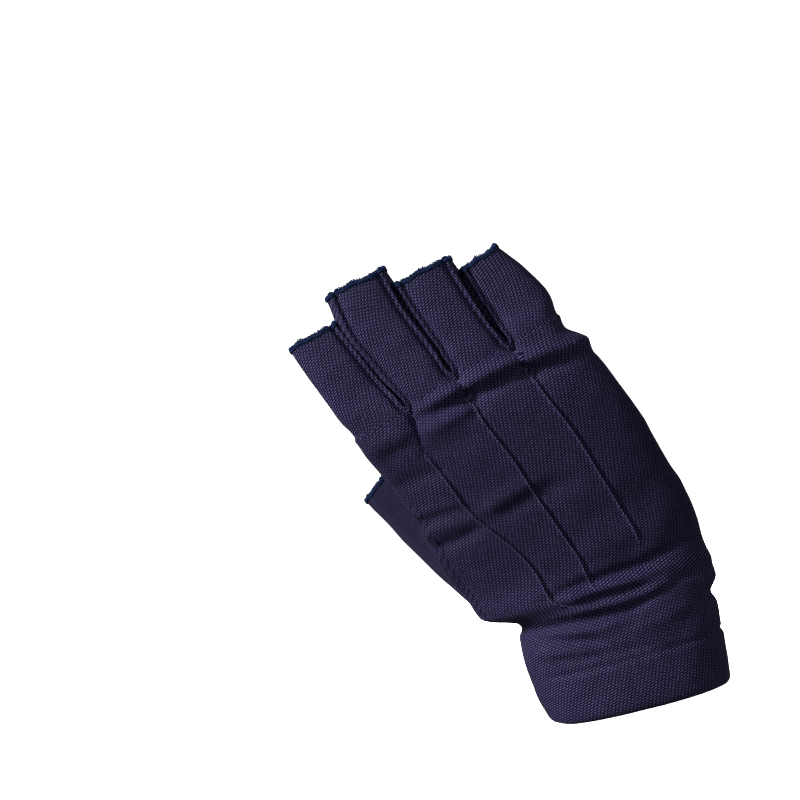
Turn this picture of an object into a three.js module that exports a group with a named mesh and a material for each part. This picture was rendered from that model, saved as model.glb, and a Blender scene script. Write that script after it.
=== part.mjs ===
// Fingerless sun glove for the right hand, standing as it does when it is worn.
// Millimetres. The origin is the middle of the cuff opening, +Z runs up the hand to the fingers,
// +X points to the little-finger side, and -Y is the back of the hand.
import * as THREE from 'three';

const CLOTH = 1.2;            // knitted cloth wall
const SEAM_GAP = 0.5;         // space between two cloths that meet in a seam
const SEAM_ANGLE = 38;        // where the finger side strips start, in degrees from the finger's side
const SEAM_STEP = 5.2;        // turn from one edge of such a seam to the other, in degrees
const EDGE_STEP = 0.6;        // the same, from the middle of the seam or fold at the hand's two sides
const FORK_GAP = 0.8;         // space between two fingers just above their fork
const FINGER_SQUARE = 2.4;    // squareness of a finger section, 2 is an ellipse
const THUMB_SQUARE = 2.1;
const THUMB_GAP = 0.7;        // space between the palm and the thumb in their seam

const HEM_LIP = 1.1;          // height of the hem's turned edge under the cuff
const HEM_GAP = 0.35;         // space between that edge and the cloth above it
const HEM_WALL = 1.1;         // turned-in layer of the hem
const HEM_TOP = 18.5;         // height of the hem

const EDGE_HEIGHT = 2.2;      // overlocked edge of a finger or of the thumb
const EDGE_PROUD = 0.3;       // how far that edge stands out past the cloth
const EDGE_WALL = 1.9;
const EDGE_ROUND = 0.6;       // height of its rounded top

const TUCK_HEIGHT = 1.3;      // stitched ridges on the back
const TUCK_END = 4.5;         // length in which a ridge rises at each end
const TUCK_COLUMN = 12;       // column spacing beside a tuck, in degrees of the finger section

// Sections from the cuff to the fork line: middle, lean toward the thumb side in degrees,
// half width, depth of the back and of the palm half, and squareness.
const BODY = [
  { z: 0, x: 0.6, y: 0, lean: 0.5, half: 33.4, back: 21.5, palm: 22, square: 2.2 },
  { z: 8, x: -0.2, y: 0, lean: 0.2, half: 34.8, back: 22, palm: 22.5, square: 2.2 },
  { z: 18.5, x: -0.8, y: 0, lean: 0.8, half: 35.6, back: 22, palm: 22.5, square: 2.2 },
  { z: 27.5, x: -0.6, y: 0, lean: 2.4, half: 36.5, back: 21.5, palm: 22.5, square: 2.2 },
  { z: 35.5, x: 0.1, y: -0.2, lean: 2.6, half: 36.4, back: 20.5, palm: 22, square: 2.2 },
  { z: 40.6, x: 1.2, y: -0.6, lean: 3.8, half: 37.2, back: 19.5, palm: 22, square: 2.2 },
  { z: 46.8, x: -5.8, y: -1.4, lean: 4.7, half: 43, back: 19, palm: 23.5, square: 2.2 },
  { z: 57.5, x: -8, y: -2.8, lean: 7.4, half: 44.4, back: 17.5, palm: 24, square: 2.2 },
  { z: 67.6, x: -11.4, y: -4, lean: 9.2, half: 45.6, back: 16.5, palm: 22.5, square: 2.25 },
  { z: 79.6, x: -15.1, y: -5.5, lean: 11.1, half: 45, back: 16, palm: 20, square: 2.3 },
  { z: 95.8, x: -19.9, y: -7.6, lean: 13.4, half: 44.3, back: 15, palm: 17, square: 2.35 },
  { z: 108.2, x: -25.2, y: -9.2, lean: 14.9, half: 44.2, back: 14, palm: 14.5, square: 2.4 },
  { z: 120.1, x: -30.9, y: -10.8, lean: 16.4, half: 44, back: 12.8, palm: 12.8, square: 2.4 },
  { z: 129.8, x: -36.1, y: -12, lean: 17.7, half: 43.2, back: 11.5, palm: 12, square: 2.4 },
];

// Heights of the body's rows of facets, closest at the wrist, where the folds are.
const BODY_ROWS = [
  0, HEM_LIP, HEM_LIP + HEM_GAP, 6.5, 12.5, HEM_TOP, 23, 27, 30.5, 34, 37, 40, 42.5, 45, 48, 51,
  55, 59.5, 64.5, 69.5, 74.5, 79.5, 84.5, 89.5, 94.5, 100, 105.5, 111, 116, 120.5, 124, 127.2, 129.8,
];
const HEM_LIP_ROW = 1;
const CUFF_ROW = 2;
const HEM_ROW = 5;
const FORK_BLEND = 106;       // height where the body starts to part into four fingers

// Fork line: the two outer edges and the three forks, with the half depth of the fingers there.
const FORKS = [
  { x: -77.2, y: -10.8, z: 116.7, depth: 10.5 },
  { x: -56.3, y: -12.4, z: 123.9, depth: 11.5 },
  { x: -37.6, y: -12.8, z: 131.7, depth: 11.8 },
  { x: -15.9, y: -12.4, z: 136.9, depth: 11 },
  { x: 5, y: -11.2, z: 143, depth: 9.6 },
];

// Finger sections between the fork line (at 0) and the opening (at 1).
const FINGERS = [
  { name: 'index', sections: [
    { at: 0.32, x: -72.2, y: -12.6, z: 132.3, lean: 19.6, half: 10.4, depth: 9.9 },
    { at: 0.66, x: -77.8, y: -13.4, z: 145.6, lean: 18.4, half: 9.7, depth: 9.2 },
    { at: 1, x: -82.2, y: -13.8, z: 156.5, lean: 16.6, half: 9.35, depth: 8.9 },
  ] },
  { name: 'middle', sections: [
    { at: 0.32, x: -53.2, y: -13.8, z: 142.1, lean: 19.1, half: 10.9, depth: 10.4 },
    { at: 0.66, x: -59.7, y: -14.8, z: 157, lean: 15.6, half: 11.3, depth: 10 },
    { at: 1, x: -63.3, y: -15.4, z: 171, lean: 13.3, half: 10.65, depth: 9.8 },
  ] },
  { name: 'ring', sections: [
    { at: 0.32, x: -31.2, y: -13.8, z: 146, lean: 11.8, half: 10.5, depth: 10.2 },
    { at: 0.66, x: -36, y: -14.8, z: 158.4, lean: 12, half: 10.7, depth: 9.8 },
    { at: 1, x: -39.5, y: -15.4, z: 169.3, lean: 12.4, half: 10.65, depth: 9.5 },
  ] },
  { name: 'little', sections: [
    { at: 0.32, x: -8.8, y: -12.4, z: 149.7, lean: 15.6, half: 11, depth: 8.8 },
    { at: 0.66, x: -13.6, y: -13.2, z: 160.4, lean: 17, half: 10, depth: 8.3 },
    { at: 1, x: -18.4, y: -13.8, z: 169.2, lean: 22.6, half: 7.45, depth: 7.8 },
  ] },
];
const FINGER_ROWS = [0, 0.06, 0.15, 0.3, 0.48, 0.66, 0.84, 1];
const FINGER_BLEND = 0.34;    // share of the length in which a finger takes its own section

// Facets across each strip, and across the side strips between the fingers.
const BACK_FACETS = { outer: 8, inner: 6 };
const PALM_FACETS = { outer: 6, inner: 4 };
const SIDE_FACETS = 3;

// Thumb hole: facet columns counted from the radial seam along the palm, and heights.
const THUMB_HOLE = { firstColumn: 1, lastColumn: 6, bottom: 51, top: 94.5 };
// Thumb sections from the hole (at 0) to the opening (at 1): middle, lean toward the thumb side
// and tilt toward the palm in degrees, and the two half widths.
const THUMB = [
  { at: 0, x: -49, y: 11, z: 66, lean: 50, tilt: 30, half: 15, depth: 14.5 },
  { at: 0.45, x: -57.3, y: 16.5, z: 81, lean: 34, tilt: 16, half: 12.9, depth: 12.6 },
  { at: 1, x: -68.6, y: 21.5, z: 99.4, lean: 30, tilt: 9, half: 12, depth: 11.6 },
];
const THUMB_ROWS = [0, 0.1, 0.22, 0.36, 0.52, 0.68, 0.84, 1];
const THUMB_BLEND = 0.6;      // share of the length in which the thumb takes its own section

// Stitched ridges: from below each fork, how far across the back (half its width is 1) they lie
// from the fork's own column low and high on the hand, the same for that column in the palm, and
// the heights between which they stand up.
const TUCKS = [
  { fork: 1, low: 0.09, high: -0.125, palm: -0.14, bottom: 42, top: 117 },
  { fork: 2, low: -0.02, high: -0.06, palm: -0.02, bottom: 47, top: 124 },
  { fork: 3, low: -0.04, high: -0.045, palm: 0, bottom: 57, top: 130 },
];
const TUCK_COURSE = { low: 62, high: 95, fork: 112 };  // heights where the ridges change course

// Folds as ridges (height above 0) and valleys (below 0), from one place to the next.
const FOLDS = [
  { side: 'back', width: 3.4, height: 1.5, path: [[-55, 121.5], [-37, 127.2], [-20, 131.4], [10, 132.6]] },
  { side: 'back', width: 3.2, height: -1.2, path: [[-49, 119.2], [-35.5, 122.4], [-18, 125], [9, 127.3]] },
  { side: 'back', width: 2.8, height: 0.8, path: [[-54, 112.9], [-46, 115], [-33, 118.5]] },
  { side: 'back', width: 3.2, height: 0.9, path: [[-73, 112.5], [-63, 115], [-54, 115.2]] },
  { side: 'back', width: 3.4, height: -0.9, path: [[-69, 97], [-58, 98.5], [-46, 100.7]] },
  { side: 'back', width: 3.2, height: 1.4, path: [[-58, 78.2], [-42, 81.4], [-29, 86.3], [-21, 89]] },
  { side: 'back', width: 3.2, height: -1.3, path: [[-56, 72.8], [-45, 75.4], [-29, 80.7], [-21, 83.6]] },
  { side: 'back', width: 3, height: -1.6, path: [[-22, 45.2], [-10, 48.2], [7, 49.2], [27, 49.2]] },
  { side: 'back', width: 3, height: 1.7, path: [[-30, 41.6], [-17, 43.3], [6, 45.2], [18, 46.6]] },
  { side: 'back', width: 3.2, height: -2.4, path: [[-37, 40], [-18, 38.6], [-3, 39.7], [17, 44.2]] },
  { side: 'back', width: 4, height: 1.9, path: [[-30, 35.6], [-11, 34.6], [0, 34], [17, 38.5]] },
  { side: 'back', width: 4, height: -1.5, path: [[-36, 36], [-31, 31], [-23, 28]] },
  { side: 'back', width: 3.6, height: -1.2, path: [[20, 45.5], [37, 48.5]] },
  { side: 'back', width: 2.6, height: -0.6, path: [[-34, 18.8], [-4, 19.8], [34, 20]] },
  { side: 'palm', width: 4.5, height: -1.8, path: [[-36, 39], [0, 41], [38, 44]] },
  { side: 'palm', width: 5, height: 1.5, path: [[-30, 32], [0, 33], [36, 36]] },
  { side: 'palm', width: 5, height: -1.4, path: [[-8, 58], [4, 82], [2, 104]] },
  { side: 'palm', width: 4.5, height: -1.3, path: [[-52, 108], [-30, 106], [-4, 114]] },
];

const radians = (degrees) => (degrees * Math.PI) / 180;
const mix = (a, b, share) => a + (b - a) * share;
const clamp = (value, low, high) => Math.min(high, Math.max(low, value));
const smooth = (from, to, value) => {
  const share = clamp((value - from) / (to - from), 0, 1);
  return share * share * (3 - 2 * share);
};
const signedPower = (value, power) => Math.sign(value) * Math.abs(value) ** power;

// Reads every column of a table at one value of its key, on curves that do not overshoot.
function readTable(rows, key, value) {
  const last = rows.length - 1;
  let i = 0;
  while (i < last - 1 && value > rows[i + 1][key]) i += 1;
  const span = rows[i + 1][key] - rows[i][key];
  const share = clamp((value - rows[i][key]) / span, 0, 1);
  const slope = (k, name) => {
    if (k === 0 || k === last) {
      const j = k === 0 ? 0 : last - 1;
      return (rows[j + 1][name] - rows[j][name]) / (rows[j + 1][key] - rows[j][key]);
    }
    const before = (rows[k][name] - rows[k - 1][name]) / (rows[k][key] - rows[k - 1][key]);
    const after = (rows[k + 1][name] - rows[k][name]) / (rows[k + 1][key] - rows[k][key]);
    return before * after <= 0 ? 0 : (2 * before * after) / (before + after);
  };
  const result = {};
  for (const name of Object.keys(rows[i])) {
    if (typeof rows[i][name] !== 'number') continue;
    const s2 = share * share;
    const s3 = s2 * share;
    result[name] = (2 * s3 - 3 * s2 + 1) * rows[i][name] + (3 * s2 - 2 * s3) * rows[i + 1][name]
      + (s3 - 2 * s2 + share) * span * slope(i, name) + (s3 - s2) * span * slope(i + 1, name);
  }
  return result;
}

// The cloth as one surface: points, and four-sided facets that each name the piece they are of.
// Facets of no piece lie in the seams. Points on the two edges of a seam are kept as twins.
const points = [];
const sides = [];
const facets = [];
const twins = [];

function addPoint(point, side) {
  points.push(point);
  sides.push(side);
  return points.length - 1;
}

function addFacet(piece, a, b, c, d) {
  facets.push({ piece, corners: [a, b, c, d] });
}

// Columns around one finger, from its thumb side over the back and back along the palm.
function fingerColumns(index) {
  const leftOuter = index === 0;
  const rightOuter = index === FINGERS.length - 1;
  const kind = leftOuter || rightOuter ? 'outer' : 'inner';
  const start = leftOuter ? 0 : SEAM_ANGLE;
  const stop = rightOuter ? 180 : 180 - SEAM_ANGLE;
  const strip = (from, to, count, seamAtStart, seamAtEnd) => {
    const angles = [from];
    const low = seamAtStart ? from + TUCK_COLUMN : from;
    const high = seamAtEnd ? to - TUCK_COLUMN : to;
    const inner = count - (seamAtStart ? 1 : 0) - (seamAtEnd ? 1 : 0);
    for (let i = seamAtStart ? 0 : 1; i <= inner; i += 1) angles.push(mix(low, high, i / inner));
    if (seamAtEnd) angles.push(to);
    return angles;
  };
  const first = leftOuter ? EDGE_STEP : start;
  const last = rightOuter ? 180 - EDGE_STEP : stop;
  const back = strip(first, last, BACK_FACETS[kind], !leftOuter, !rightOuter);
  const palm = strip(360 - last, 360 - first, PALM_FACETS[kind], !rightOuter, !leftOuter);
  const sideStrip = (from, to) => {
    const angles = [];
    for (let i = 0; i <= SIDE_FACETS; i += 1) {
      angles.push(mix(from + SEAM_STEP, to - SEAM_STEP, i / SIDE_FACETS));
    }
    return angles;
  };
  return {
    back,
    palm,
    right: rightOuter ? null : sideStrip(180 - SEAM_ANGLE, 180 + SEAM_ANGLE),
    left: leftOuter ? null : sideStrip(360 - SEAM_ANGLE, 360 + SEAM_ANGLE),
    start,
    stop,
  };
}

// Where a finger's column stands on the fork line, before the fingers part.
function forkPoint(index, columns, angle) {
  const across = (degrees) => signedPower(-Math.cos(radians(degrees)), 2 / FINGER_SQUARE);
  const low = across(columns.start);
  const high = across(columns.stop);
  const share = clamp((across(angle) - low) / (high - low), 0, 1);
  const from = FORKS[index];
  const to = FORKS[index + 1];
  const depth = mix(from.depth, to.depth, share);
  return new THREE.Vector3(
    mix(from.x, to.x, share),
    mix(from.y, to.y, share) - depth * signedPower(Math.sin(radians(angle)), 2 / FINGER_SQUARE),
    mix(from.z, to.z, share),
  );
}

// A point of a finger: the fork line's shape carried up the finger, then the finger's own.
function fingerPoint(index, columns, angle, at) {
  const from = FORKS[index];
  const to = FORKS[index + 1];
  const root = {
    at: 0,
    x: (from.x + to.x) / 2,
    y: (from.y + to.y) / 2,
    z: (from.z + to.z) / 2,
    lean: THREE.MathUtils.radToDeg(Math.atan2(to.z - from.z, to.x - from.x)),
    half: Math.hypot(to.x - from.x, to.z - from.z) / 2,
    depth: (from.depth + to.depth) / 2,
  };
  const section = readTable([root, ...FINGERS[index].sections], 'at', at);
  const turn = radians(section.lean);
  const across = section.half * signedPower(-Math.cos(radians(angle)), 2 / FINGER_SQUARE);
  const deep = section.depth * signedPower(Math.sin(radians(angle)), 2 / FINGER_SQUARE);
  const own = new THREE.Vector3(
    section.x + across * Math.cos(turn),
    section.y - deep,
    section.z + across * Math.sin(turn),
  );
  const base = forkPoint(index, columns, angle);
  const narrow = 1 - (FORK_GAP / (2 * root.half)) * smooth(0, 0.14, at);
  const carried = new THREE.Vector3(
    section.x + (base.x - root.x) * narrow,
    section.y + (base.y - root.y),
    section.z + (base.z - root.z) * narrow,
  );
  return carried.lerp(own, smooth(0, FINGER_BLEND, at));
}

// A point of the body, by its place across (-1 to 1), on the back (side -1) or palm (side 1).
function bodyRing(height, across, side) {
  const section = readTable(BODY, 'z', height);
  const turn = radians(section.lean);
  const depth = side < 0 ? section.back : section.palm;
  const round = Math.max(0, 1 - Math.abs(across) ** section.square) ** (1 / section.square);
  return new THREE.Vector3(
    section.x + section.half * across * Math.cos(turn),
    section.y + side * depth * round,
    section.z + section.half * across * Math.sin(turn),
  );
}

function tuckDrift(tuck, side, height) {
  if (side > 0) return tuck.palm * smooth(TUCKS[0].top, TUCKS[0].bottom, height);
  const drift = mix(tuck.high, tuck.low, smooth(TUCK_COURSE.high, TUCK_COURSE.low, height));
  return drift * smooth(BODY[BODY.length - 1].z, TUCK_COURSE.fork, height);
}

// The place across the body of a column that ends in a fork-line point; the columns beside a
// tuck drift with it toward the wrist.
function placeAcross(top, side, height) {
  const section = readTable(BODY, 'z', BODY[BODY.length - 1].z);
  const turn = radians(section.lean);
  const along = (top.x - section.x) * Math.cos(turn) + (top.z - section.z) * Math.sin(turn);
  const place = clamp(along / section.half, -1, 1);
  const stops = [-1, ...TUCKS.map((tuck) => forkPlace(tuck.fork)), 1];
  const drifts = [0, ...TUCKS.map((tuck) => tuckDrift(tuck, side, height)), 0];
  let i = 0;
  while (i < stops.length - 2 && place > stops[i + 1]) i += 1;
  const share = clamp((place - stops[i]) / (stops[i + 1] - stops[i]), 0, 1);
  return clamp(place + mix(drifts[i], drifts[i + 1], share), -1, 1);
}

function forkPlace(fork) {
  const section = BODY[BODY.length - 1];
  const turn = radians(section.lean);
  const along = FORKS[fork].x - section.x;
  const up = FORKS[fork].z - section.z;
  return (along * Math.cos(turn) + up * Math.sin(turn)) / section.half;
}

function bodyPoint(top, side, height) {
  const topHeight = BODY[BODY.length - 1].z;
  const ring = bodyRing(height, placeAcross(top, side, height), side);
  const last = bodyRing(topHeight, placeAcross(top, side, topHeight), side);
  const part = smooth(FORK_BLEND, topHeight, height);
  return ring.add(top.clone().sub(last).multiplyScalar(part));
}

// Body columns in ring order: the back strips from the thumb side, then the palm strips back.
const layout = FINGERS.map((finger, index) => fingerColumns(index));
const bodyColumns = [];
function addBodyStrip(index, strip, side, ends) {
  const start = bodyColumns.length;
  const own = ends ? strip : strip.slice(0, -1);
  for (const angle of own) bodyColumns.push({ top: forkPoint(index, layout[index], angle), side });
  return start;
}
layout.forEach((columns, index) => {
  columns.backStart = addBodyStrip(index, columns.back, -1, columns.right === null);
});
const palmStart = bodyColumns.length;
for (let index = FINGERS.length - 1; index >= 0; index -= 1) {
  layout[index].palmStart = addBodyStrip(index, layout[index].palm, 1, layout[index].left === null);
}

// Body rows. The columns at the two sides of the hand follow the folds of the back and the palm.
const columnCount = bodyColumns.length;
const sideColumns = [0, palmStart - 1, palmStart, columnCount - 1];
const body = BODY_ROWS.map((height) => bodyColumns.map((column, i) => (
  addPoint(bodyPoint(column.top, column.side, height), sideColumns.includes(i) ? 0 : column.side)
)));
const bodyAt = (row, column) => body[row][(column + columnCount) % columnCount];
const hole = {
  left: columnCount - 1 - THUMB_HOLE.lastColumn,
  right: columnCount - 1 - THUMB_HOLE.firstColumn,
  low: BODY_ROWS.findIndex((height) => height >= THUMB_HOLE.bottom),
  high: BODY_ROWS.findIndex((height) => height >= THUMB_HOLE.top),
};
function bodyPiece(row, column) {
  if (row < CUFF_ROW || column === palmStart - 1 || column === columnCount - 1) return null;
  return column < palmStart ? 'trank_back' : 'trank_palm';
}
for (let row = 0; row < BODY_ROWS.length - 1; row += 1) {
  for (let column = 0; column < columnCount; column += 1) {
    const inHole = row >= hole.low && row < hole.high && column >= hole.left && column < hole.right;
    if (inHole) continue;
    const [a, b] = [bodyAt(row, column), bodyAt(row, column + 1)];
    const [c, d] = [bodyAt(row + 1, column + 1), bodyAt(row + 1, column)];
    addFacet(bodyPiece(row, column), a, b, c, d);
  }
}
body.forEach((row) => twins.push([row[palmStart - 1], row[palmStart]], [row[columnCount - 1], row[0]]));

// Fingers: each grows from the body's last row and from the web points between two fingers.
const topRow = BODY_ROWS.length - 1;
const webs = FORKS.map(() => null);
const openings = {};
layout.forEach((columns, index) => {
  const ring = [];
  const addStrip = (strip, bases, side, piece) => strip.forEach((angle, i) => {
    const last = i === strip.length - 1;
    ring.push({ angle, base: bases(i), side, piece: last ? null : piece, last });
  });
  addStrip(columns.back, (i) => bodyAt(topRow, columns.backStart + i), -1, 'trank_back');
  if (columns.right) {
    webs[index + 1] = columns.right.map((angle) => addPoint(forkPoint(index, columns, angle), 0));
    addStrip(columns.right, (i) => webs[index + 1][i], 0, `fourchette_${index + 1}`);
  }
  addStrip(columns.palm, (i) => bodyAt(topRow, columns.palmStart + i), 1, 'trank_palm');
  if (columns.left) {
    const web = [...webs[index]].reverse();
    addStrip(columns.left, (i) => web[i], 0, `fourchette_${index}`);
  }
  const rows = FINGER_ROWS.map((at) => ring.map((column) => {
    if (at === 0) return column.base;
    const turned = Math.abs(Math.sin(radians(column.angle))) < Math.sin(radians(2 * EDGE_STEP));
    return addPoint(fingerPoint(index, columns, column.angle, at), turned ? 0 : column.side);
  }));
  ring.forEach((column, i) => {
    const next = (i + 1) % ring.length;
    for (let row = 0; row < rows.length - 1; row += 1) {
      addFacet(column.piece, rows[row][i], rows[row][next], rows[row + 1][next], rows[row + 1][i]);
    }
    if (column.last) rows.forEach((row) => twins.push([row[i], row[next]]));
  });
  openings[FINGERS[index].name] = rows[rows.length - 1];
});

// Thumb: from the edge of its hole in the palm.
function thumbFrame(at) {
  const section = readTable(THUMB, 'at', at);
  const lean = radians(section.lean);
  const tilt = radians(section.tilt);
  return {
    ...section,
    middle: new THREE.Vector3(section.x, section.y, section.z),
    across: new THREE.Vector3(Math.cos(lean), 0, Math.sin(lean)),
    deep: new THREE.Vector3(
      Math.sin(tilt) * Math.sin(lean),
      Math.cos(tilt),
      -Math.sin(tilt) * Math.cos(lean),
    ),
  };
}

function thumbPoint(start, at) {
  const root = thumbFrame(0);
  const frame = thumbFrame(at);
  const arm = start.clone().sub(root.middle);
  const angle = Math.atan2(arm.dot(root.deep) / root.depth, arm.dot(root.across) / root.half);
  const own = frame.middle.clone()
    .addScaledVector(frame.across, frame.half * signedPower(Math.cos(angle), 2 / THUMB_SQUARE))
    .addScaledVector(frame.deep, frame.depth * signedPower(Math.sin(angle), 2 / THUMB_SQUARE));
  const carried = start.clone().add(frame.middle).sub(root.middle);
  return carried.lerp(own, smooth(0, THUMB_BLEND, at));
}

const holeEdge = [];
for (let column = hole.left; column < hole.right; column += 1) holeEdge.push(bodyAt(hole.low, column));
for (let row = hole.low; row < hole.high; row += 1) holeEdge.push(bodyAt(row, hole.right));
for (let column = hole.right; column > hole.left; column -= 1) holeEdge.push(bodyAt(hole.high, column));
for (let row = hole.high; row > hole.low; row -= 1) holeEdge.push(bodyAt(row, hole.left));
const holeMiddle = new THREE.Vector3();
for (const corner of holeEdge) holeMiddle.addScaledVector(points[corner], 1 / holeEdge.length);
const thumbRows = [holeEdge];
for (const at of THUMB_ROWS) {
  thumbRows.push(holeEdge.map((start) => {
    if (at !== 0) return addPoint(thumbPoint(points[start], at), 1);
    const step = holeMiddle.clone().sub(points[start]).setLength(THUMB_GAP);
    return addPoint(points[start].clone().add(step), 1);
  }));
}
holeEdge.forEach((start, i) => {
  const next = (i + 1) % holeEdge.length;
  for (let row = 0; row < thumbRows.length - 1; row += 1) {
    const piece = row === 0 ? null : 'thumb_stall';
    addFacet(piece, thumbRows[row][i], thumbRows[row][next], thumbRows[row + 1][next], thumbRows[row + 1][i]);
  }
  twins.push([thumbRows[0][i], thumbRows[1][i]]);
});
openings.thumb = thumbRows[thumbRows.length - 1];

// Outward direction at every point, the same at both edges of a seam.
function outwardAt() {
  const result = points.map(() => new THREE.Vector3());
  for (const { corners: [a, b, c, d] } of facets) {
    const first = points[c].clone().sub(points[a]);
    const normal = first.cross(points[d].clone().sub(points[b]));
    for (const corner of [a, b, c, d]) result[corner].add(normal);
  }
  result.forEach((normal) => normal.normalize());
  for (const [a, b] of twins) {
    const shared = result[a].clone().add(result[b]).normalize();
    result[a].copy(shared);
    result[b].copy(shared);
  }
  return result;
}

// Distance from a place on the front view to a path of straight runs.
function distanceTo(path, x, z) {
  let best = Infinity;
  for (let i = 0; i < path.length - 1; i += 1) {
    const [x0, z0] = path[i];
    const dx = path[i + 1][0] - x0;
    const dz = path[i + 1][1] - z0;
    const share = clamp(((x - x0) * dx + (z - z0) * dz) / (dx * dx + dz * dz), 0, 1);
    best = Math.min(best, Math.hypot(x - x0 - dx * share, z - z0 - dz * share));
  }
  return best;
}

function foldHeight(point, side) {
  let height = 0;
  for (const fold of FOLDS) {
    if (side !== 0 && (fold.side === 'back') !== (side < 0)) continue;
    const far = distanceTo(fold.path, point.x, point.z) / fold.width;
    height += fold.height * Math.exp(-far * far) * (side === 0 ? 0.5 : 1);
  }
  return height;
}

const smoothOutward = outwardAt();
points.forEach((point, i) => point.addScaledVector(smoothOutward[i], foldHeight(point, sides[i])));
for (const tuck of TUCKS) {
  BODY_ROWS.forEach((height, row) => {
    const start = smooth(tuck.bottom, tuck.bottom + TUCK_END, height);
    const rise = start * (1 - smooth(tuck.top - TUCK_END, tuck.top, height));
    const corner = bodyAt(row, layout[tuck.fork].backStart);
    points[corner].addScaledVector(smoothOutward[corner], TUCK_HEIGHT * rise);
  });
}
const outward = outwardAt();
const inwardPoint = (corner, depth) => points[corner].clone().addScaledVector(outward[corner], -depth);

// A closed solid from its own points and facets.
function solidFrom(name, color, corners, quads) {
  const positions = corners.flatMap((corner) => [corner.x, corner.y, corner.z]);
  const index = quads.flatMap(([a, b, c, d]) => {
    const shortFirst = corners[a].distanceToSquared(corners[c]) <= corners[b].distanceToSquared(corners[d]);
    return shortFirst ? [a, b, c, a, c, d] : [b, c, d, b, d, a];
  });
  const geometry = new THREE.BufferGeometry();
  geometry.setAttribute('position', new THREE.Float32BufferAttribute(positions, 3));
  geometry.setIndex(index);
  geometry.computeVertexNormals();
  const mesh = new THREE.Mesh(geometry, new THREE.MeshStandardMaterial({ color, roughness: 0.9 }));
  mesh.name = name;
  return mesh;
}

// A cloth piece: its facets, the same facets a wall's depth inside, and walls along its edges.
function clothSolid(name, color) {
  const own = facets.filter((facet) => facet.piece === name);
  const numbers = new Map();
  for (const { corners } of own) {
    for (const corner of corners) if (!numbers.has(corner)) numbers.set(corner, numbers.size);
  }
  const outer = [...numbers.keys()];
  const inner = outer.map((corner) => inwardPoint(corner, CLOTH));
  const corners = [...outer.map((corner) => points[corner]), ...inner];
  const count = outer.length;
  const edges = new Map();
  const quads = [];
  for (const facet of own) {
    const q = facet.corners.map((corner) => numbers.get(corner));
    quads.push(q, [q[0] + count, q[3] + count, q[2] + count, q[1] + count]);
    q.forEach((from, i) => edges.set(`${from},${q[(i + 1) % 4]}`, [from, q[(i + 1) % 4]]));
  }
  for (const [from, to] of edges.values()) {
    if (!edges.has(`${to},${from}`)) quads.push([to, from, from + count, to + count]);
  }
  return solidFrom(name, color, corners, quads);
}

// A closed band: the same profile of points at every column of a ring.
function bandSolid(name, color, ring, profile) {
  const corners = ring.flatMap((corner) => profile(corner));
  const size = corners.length / ring.length;
  const quads = [];
  ring.forEach((corner, i) => {
    const next = (i + 1) % ring.length;
    for (let k = 0; k < size; k += 1) {
      const after = (k + 1) % size;
      quads.push([i * size + k, next * size + k, next * size + after, i * size + after]);
    }
  });
  return solidFrom(name, color, corners, quads);
}

// Hem: a lip under the cuff's edge and a turned-in layer inside it.
function hemProfile(column) {
  const inside = CLOTH + SEAM_GAP;
  const layer = [];
  for (let row = CUFF_ROW; row <= HEM_ROW; row += 1) layer.push(inwardPoint(bodyAt(row, column), inside));
  const back = [];
  for (let row = HEM_ROW; row >= 0; row -= 1) {
    back.push(inwardPoint(bodyAt(row, column), inside + HEM_WALL));
  }
  return [
    inwardPoint(bodyAt(0, column), 0),
    inwardPoint(bodyAt(HEM_LIP_ROW, column), 0),
    inwardPoint(bodyAt(HEM_LIP_ROW, column), inside),
    ...layer,
    ...back,
  ];
}

// Overlocked edge: a rounded band on the end of a finger or of the thumb.
function edgeProfile(ring) {
  const middle = new THREE.Vector3();
  for (const corner of ring) middle.addScaledVector(points[corner], 1 / ring.length);
  const axis = new THREE.Vector3();
  ring.forEach((corner, i) => {
    const next = ring[(i + 1) % ring.length];
    axis.add(points[corner].clone().sub(middle).cross(points[next].clone().sub(middle)));
  });
  axis.normalize();
  const place = (corner, up, depth) => inwardPoint(corner, depth).addScaledVector(axis, up);
  const top = SEAM_GAP + EDGE_HEIGHT;
  return (corner) => [
    place(corner, SEAM_GAP, -EDGE_PROUD),
    place(corner, top - EDGE_ROUND, -EDGE_PROUD),
    place(corner, top, EDGE_WALL / 2 - EDGE_PROUD),
    place(corner, top - EDGE_ROUND, EDGE_WALL - EDGE_PROUD),
    place(corner, SEAM_GAP, EDGE_WALL - EDGE_PROUD),
  ];
}

const glove = new THREE.Group();
glove.name = 'fingerless_sun_glove';
glove.add(clothSolid('trank_back', '#23213f'));
glove.add(clothSolid('trank_palm', '#232140'));
for (const number of [1, 2, 3]) glove.add(clothSolid(`fourchette_${number}`, '#201e3a'));
glove.add(clothSolid('thumb_stall', '#211f3c'));
glove.add(bandSolid('cuff_hem', '#201e3a', bodyColumns.map((column, i) => i), hemProfile));
for (const [name, ring] of Object.entries(openings)) {
  glove.add(bandSolid(`${name}_edge`, '#1c2a55', ring, edgeProfile(ring)));
}

export default glove;
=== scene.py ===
"""Looks of the right-hand fingerless sun glove, standing as it does when it is worn.

The cloth is worked out from the same sections, forks and folds as the solid part, on a finer
net, with the seams, stitches and knit added. Sizes are millimetres until a mesh is made.
X points to the little-finger side, -Y is the back of the hand and Z runs up the hand.
"""
import math

import bpy
import numpy as np
from mathutils import Matrix, Vector


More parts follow.
